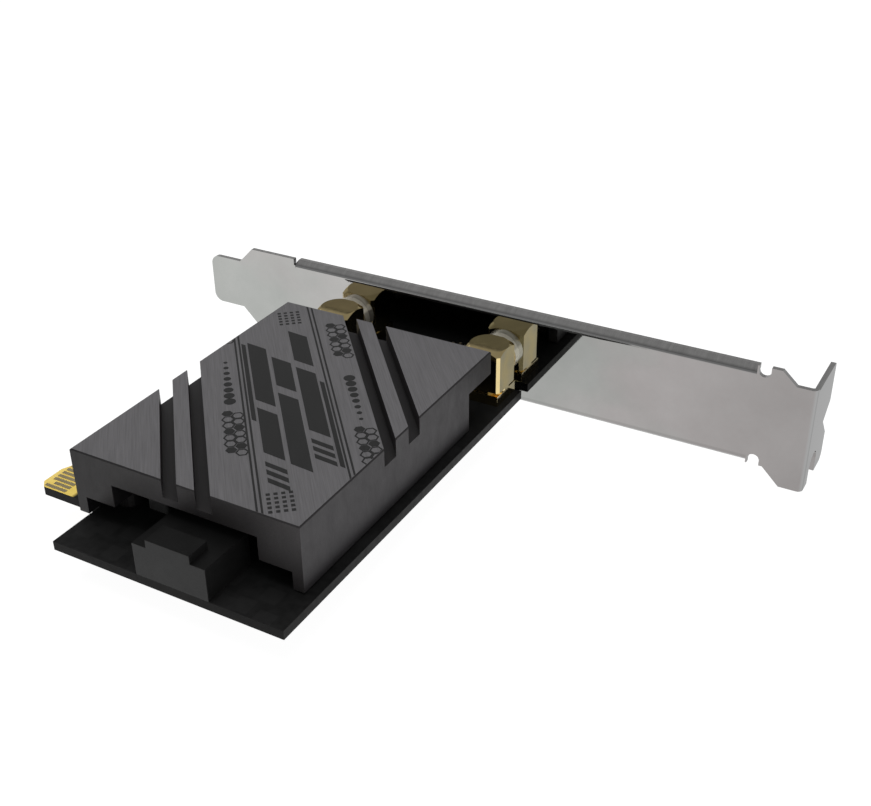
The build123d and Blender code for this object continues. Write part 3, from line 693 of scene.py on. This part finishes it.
def header_tracks():
    """Six thin tracks from the cable header towards the radio chip."""
    made = []
    first_lane, lane_pitch, width = 49.5, 0.9, 0.22
    for lane in range(6):
        lane_x = first_lane + lane * lane_pitch
        made += track([(lane_x, -12), (lane_x, -2 + lane), (43, 6 + lane)], width)
    return made


def via_places():
    """A grid below the radio chip, rows along three edges, and a fence beside each antenna feed."""
    front, rear = board_low[1] / MM, board_high[1] / MM
    left, right = FRONT_SETBACK, board_high[0] / MM
    grid = [CHIP_VIA_PITCH * (n - (CHIP_VIAS - 1) / 2) for n in range(CHIP_VIAS)]
    places = [(CHIP[0] + x, CHIP[1] + y) for x in grid for y in grid]
    for y in spaced(front + EDGE_MARGIN, rear - EDGE_MARGIN, VIA_PITCH):
        places.append((right - EDGE_MARGIN, y))
    for x in spaced(left + EDGE_MARGIN, right - 2 * EDGE_MARGIN, VIA_PITCH):
        places += [(x, rear - EDGE_MARGIN), (x, front + EDGE_MARGIN)]
    for jack_x in jack_lines:
        for side in (-FENCE_OFFSET, FENCE_OFFSET):
            places += [(jack_x + side, FENCE_START + FENCE_PITCH * n) for n in range(4)]
    return places


def pad_places():
    """Two rows of test pads near the card edge, and one near the far end."""
    places = [(12.5 + PAD_PITCH * n, 24.0) for n in range(6)]
    places += [(12.5 + PAD_PITCH * n, 21.6) for n in range(4)]
    return places + [(55.0, 20.0 + PAD_PITCH * n) for n in range(5)]


tracks = antenna_feeds() + data_pairs() + supply_tracks() + header_tracks()
vias = [disc(x, y, VIA_RADIUS, SMALL_DISC_SIDES) for x, y in via_places() if clear_of_screws(x, y)]
pads = [disc(x, y, PAD_RADIUS) for x, y in pad_places() if clear_of_screws(x, y)]
copper_finish = covered_copper()
for name, shapes in (("solder_side_tracks", tracks), ("solder_side_vias", vias)):
    thin_piece(name, in_metres(shapes), board_low[2], -1, "black_solder_mask", copper_finish)
thin_piece("test_pads", in_metres(pads), board_low[2], -1, "contact_gold")

# Metal ends of the small parts, and four very small parts behind the heatsink

CAP_SHARE = 0.24
CAP_PROUD = 0.02 * MM
CAP_ROUNDING = 0.03 * MM
SMALL_PARTS = 4
SMALL_PART_START = (36.2, 48.2)
SMALL_PART_PITCH = 1.3
SMALL_PART_STAGGER = 0.5
SMALL_PART_SIZE = (0.5 * MM, 1.0 * MM, 0.5 * MM)
SMALL_PART_CAP = 0.26 * MM
SMALL_PART_ROUNDING = 0.04 * MM


def add_block(work, low, high, rounding):
    """A block with softened edges."""
    made = bmesh.ops.create_cube(work, size=1.0)["verts"]
    bmesh.ops.scale(work, verts=made, vec=[b - a for a, b in zip(low, high)])
    bmesh.ops.translate(work, verts=made, vec=middle_of(low, high))
    edges = list({edge for vertex in made for edge in vertex.link_edges})
    bmesh.ops.bevel(work, geom=edges, offset=rounding, segments=1, affect="EDGES")


def add_end_caps(work, low, high, axis, length):
    """A metal cap round each end of a small part that lies along an axis."""
    outer_low = [low[0] - CAP_PROUD, low[1] - CAP_PROUD, low[2]]
    outer_high = [edge + CAP_PROUD for edge in high]
    first_end, last_start = list(outer_high), list(outer_low)
    first_end[axis] = low[axis] + length
    last_start[axis] = high[axis] - length
    add_block(work, outer_low, first_end, CAP_ROUNDING)
    add_block(work, last_start, outer_high, CAP_ROUNDING)


caps = bmesh.new()
for node in ("supply_capacitors", "coupling_capacitors", "matching_parts", "antenna_filters"):
    for low, high in solids_of(frame["nodes"][node].data):
        axis = 0 if high[0] - low[0] > high[1] - low[1] else 1
        add_end_caps(caps, low, high, axis, (high[axis] - low[axis]) * CAP_SHARE)
small_parts = bmesh.new()
for n in range(SMALL_PARTS):
    start_x = (SMALL_PART_START[0] + SMALL_PART_PITCH * n) * MM
    start_y = (SMALL_PART_START[1] - SMALL_PART_STAGGER * (n % 2)) * MM
    low = (start_x, start_y, board_high[2])
    high = tuple(edge + size for edge, size in zip(low, SMALL_PART_SIZE))
    add_block(small_parts, low, high, SMALL_PART_ROUNDING)
    add_end_caps(caps, low, high, 1, SMALL_PART_CAP)
new_piece("rear_small_parts", small_parts, "tan_ceramic")
new_piece("part_end_caps", caps, "tinned_steel")

# Solder at the legs and the centre contacts of the jacks, as (radius, height) pairs in mm

LEG_SKIRT = ((1.25, 0.0), (1.0, -0.10), (0.86, -0.26), (0.78, -0.50))
TAIL_SKIRT = ((0.85, 0.0), (0.68, -0.08), (0.58, -0.22), (0.53, -0.40))
TAIL_MIDDLE = 0.325 * MM
LEG_REACH = 0.5 * MM


def add_turned(work, centre, profile, sides=24):
    """A turned skirt below a place on the solder side."""
    rings = []
    for radius, height in profile:
        z = centre[2] + height * MM
        points = circle([radius * MM] * sides)
        rings.append([work.verts.new((centre[0] + x, centre[1] + y, z)) for x, y in points])
    for lower, upper in zip(rings, rings[1:]):
        join_rings(work, lower, upper)
    work.faces.new(rings[0])
    work.faces.new(rings[-1][::-1])


joints = bmesh.new()
for side in ("left", "right"):
    low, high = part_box(side + "_antenna_jack_contact")
    centre = (middle_of(low, high)[0], low[1] + TAIL_MIDDLE)
    legs = {}
    for vertex in frame["nodes"][side + "_antenna_jack_body"].data.vertices:
        if vertex.co.z < board_low[2] - LEG_REACH:
            corner = (vertex.co.x > centre[0], vertex.co.y > centre[1])
            legs.setdefault(corner, []).append(tuple(vertex.co))
    for corner in sorted(legs):
        leg_middle = middle_of(*box_of(legs[corner]))
        add_turned(joints, (*leg_middle[:2], board_low[2]), LEG_SKIRT)
    add_turned(joints, (*centre, board_low[2]), TAIL_SKIRT)
bmesh.ops.recalc_face_normals(joints, faces=joints.faces)
for face in joints.faces:
    face.smooth = True
new_piece("solder_joints", joints, "tinned_steel", sharp=radians(40))

# Threads of the antenna jacks

THREAD_PITCH = 25.4 / 36 * MM
THREAD_RADIUS = 3.17 * MM
THREAD_DEPTH = 0.38 * MM
THREAD_SIDES = 56
THREAD_ROOT = THREAD_RADIUS - THREAD_DEPTH - 0.05 * MM
THREAD_END_GAP = 0.5 * MM
THREAD_LAST_RISE = 0.15
CREST_HEIGHT = 1.55
FLANK_SLOPE = 4.1
STEPS_PER_TURN = 8
BARREL_RADIUS = 3.175 * MM
BARREL_TOLERANCE = 0.02 * MM
BARREL_BEFORE_NUT = 3 * MM
CONTACT_RADIUS = 0.46 * MM


def shrink_barrel(body, centre, start):
    """Takes the smooth barrel in to the foot of the thread."""
    for vertex in body.verts:
        out = hypot(vertex.co.x - centre[0], vertex.co.z - centre[1])
        if vertex.co.y > start and abs(out - BARREL_RADIUS) < BARREL_TOLERANCE:
            shrink = (THREAD_RADIUS - THREAD_DEPTH) / out
            vertex.co.x = centre[0] + (vertex.co.x - centre[0]) * shrink
            vertex.co.z = centre[1] + (vertex.co.z - centre[1]) * shrink


def thread_ring(body, centre, y, radii):
    """A ring of points about the barrel's line, with a radius for each corner."""
    return [body.verts.new((centre[0] + x, y, centre[1] + z)) for x, z in circle(radii)]


def thread_radii(turns, taper):
    """The radius at each corner of a ring, some turns along the thread."""
    radii = []
    for corner in range(THREAD_SIDES):
        phase = (turns - corner / THREAD_SIDES) % 1.0
        rise = min(1.0, max(0.0, CREST_HEIGHT - abs(phase - 0.5) * FLANK_SLOPE))
        radii.append(THREAD_RADIUS - THREAD_DEPTH * (1 - rise * taper))
    return radii


def add_thread(body, centre, start, end):
    """A closed sleeve about the barrel's line, with the thread on its outside."""
    count = int((end - start) / THREAD_PITCH * STEPS_PER_TURN) + 1
    rings = []
    for ring in range(count):
        y = start + (end - start) * ring / (count - 1)
        taper = min(1.0, (end - y) / THREAD_PITCH + THREAD_LAST_RISE)
        rings.append(thread_ring(body, centre, y, thread_radii((y - start) / THREAD_PITCH, taper)))
    for y in (end, start):
        rings.append(thread_ring(body, centre, y, [THREAD_ROOT] * THREAD_SIDES))
    sleeve = []
    for ring, following in zip(rings, rings[1:] + rings[:1]):
        sleeve += join_rings(body, ring, following)
    bmesh.ops.recalc_face_normals(body, faces=sleeve)


thread_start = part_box("jack_hex_nuts")[0][1]
for side in ("left", "right"):
    node = side + "_antenna_jack_body"
    low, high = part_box(node)
    contact_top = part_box(side + "_antenna_jack_contact")[1][2]
    centre = (middle_of(low, high)[0], contact_top - CONTACT_RADIUS)
    body = bmesh.new()
    body.from_mesh(frame["nodes"][node].data)
    shrink_barrel(body, centre, thread_start - BARREL_BEFORE_NUT)
    add_thread(body, centre, thread_start, high[1] - THREAD_END_GAP)
    threaded = new_piece(node + "_threaded", body, "gold_plate", sharp=radians(30))
    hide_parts(node)

# Floor, which glows for the camera and in reflections and keeps a share of the card's shadow

FLOOR_GAP = 0.2 * MM
FLOOR_SIZE = 12
FLOOR_GLOW = 1.2
FLOOR_SHARE = 0.80
plane = bmesh.new()
bmesh.ops.create_grid(plane, x_segments=1, y_segments=1, size=FLOOR_SIZE)
bmesh.ops.translate(plane, verts=plane.verts, vec=(0, 0, cad_box[0][2] - FLOOR_GAP))
floor_mesh = bpy.data.meshes.new("floor")
plane.to_mesh(floor_mesh)
plane.free()
floor = bpy.data.objects.new("floor", floor_mesh)
bpy.context.scene.collection.objects.link(floor)

pale = Shader("pale_floor")
pale.set(base_color=(0.80, 0.80, 0.80, 1), roughness=0.9, specular_ior_level=0.0)
glow = pale.add("ShaderNodeEmission", {"Color": WHITE, "Strength": FLOOR_GLOW})
path = pale.add("ShaderNodeLightPath").outputs
seen = pale.maths("MAXIMUM", path["Is Camera Ray"], path["Is Glossy Ray"])
seen = pale.maths("MAXIMUM", seen, path["Is Transmission Ray"])
share = pale.maths("MULTIPLY", seen, FLOOR_SHARE)
blend = pale.add("ShaderNodeMixShader", {0: share, 1: pale.surface.outputs[0], 2: glow.outputs[0]})
pale.feed(pale.tree.nodes["Material Output"].inputs[0], blend.outputs[0])
floor_mesh.materials.append(pale.material)

# The room above the floor: pale low down and dark above, and white for the camera

LOW_WALL, CEILING = 0.66, 0.27
WALL_END, CEILING_START = 0.22, 0.50
world = bpy.data.worlds.new("studio")
bpy.context.scene.world = world
world.use_nodes = True
sky = Nodes(world.node_tree)
sky.tree.nodes.clear()
height = sky.axis(sky.add("ShaderNodeTexCoord").outputs["Generated"], "Z")
heights = {"Value": height, "From Min": WALL_END, "From Max": CEILING_START}
strengths = {"To Min": LOW_WALL, "To Max": CEILING}
fade = sky.add("ShaderNodeMapRange", heights | strengths, interpolation_type="SMOOTHSTEP").outputs["Result"]
room = sky.add("ShaderNodeBackground", {"Strength": fade}).outputs[0]
white = sky.add("ShaderNodeBackground", {"Color": WHITE}).outputs[0]
camera_ray = sky.add("ShaderNodeLightPath").outputs["Is Camera Ray"]
choice = sky.add("ShaderNodeMixShader", {0: camera_ray, 1: room, 2: white}).outputs[0]
sky.add("ShaderNodeOutputWorld", {0: choice})

# Lights


def soft_light(name, place, size, power):
    """A lamp turned to the card, which doesn't show in its reflections."""
    light = bpy.data.lights.new(name, "AREA")
    light.shape = "RECTANGLE"
    light.size, light.size_y = size
    light.energy = power
    lamp = bpy.data.objects.new(name, light)
    lamp.location = place
    lamp.visible_glossy = False
    lamp.rotation_mode = "QUATERNION"
    lamp.rotation_quaternion = (card_middle - Vector(place)).to_track_quat("-Z", "Y")
    bpy.context.scene.collection.objects.link(lamp)


card_middle = (Vector(cad_box[0]) + Vector(cad_box[1])) / 2
soft_light("key", place=(-0.10, 0.10, 0.75), size=(0.7, 0.7), power=4.2)
soft_light("side", place=(0.75, -0.15, 0.25), size=(0.4, 0.3), power=0.8)

# Camera, as it was fitted to the photograph

CAMERA_PLACE = (0.13765, -0.12165, 0.11281)
CAMERA_AZIMUTH = radians(30.965)
CAMERA_HEIGHT = radians(30.338)
CAMERA_ROLL = radians(-1.383)
back = Vector((
    sin(CAMERA_AZIMUTH) * cos(CAMERA_HEIGHT),
    -cos(CAMERA_AZIMUTH) * cos(CAMERA_HEIGHT),
    sin(CAMERA_HEIGHT),
))
level_right = Vector((cos(CAMERA_AZIMUTH), sin(CAMERA_AZIMUTH), 0))
level_up = back.cross(level_right)
right = level_right * cos(CAMERA_ROLL) + level_up * sin(CAMERA_ROLL)
up = level_up * cos(CAMERA_ROLL) - level_right * sin(CAMERA_ROLL)
camera_data = bpy.data.cameras.new("camera")
camera_data.sensor_width = 36
camera_data.lens = 51.66
camera_data.shift_x = 0.0358
camera_data.shift_y = -0.0011
camera_data.clip_start = 0.01
camera = bpy.data.objects.new("camera", camera_data)
camera.matrix_world = Matrix.Translation(CAMERA_PLACE) @ Matrix((right, up, back)).transposed().to_4x4()
bpy.context.scene.collection.objects.link(camera)
bpy.context.scene.camera = camera
bpy.context.scene.view_settings.view_transform = "Standard"
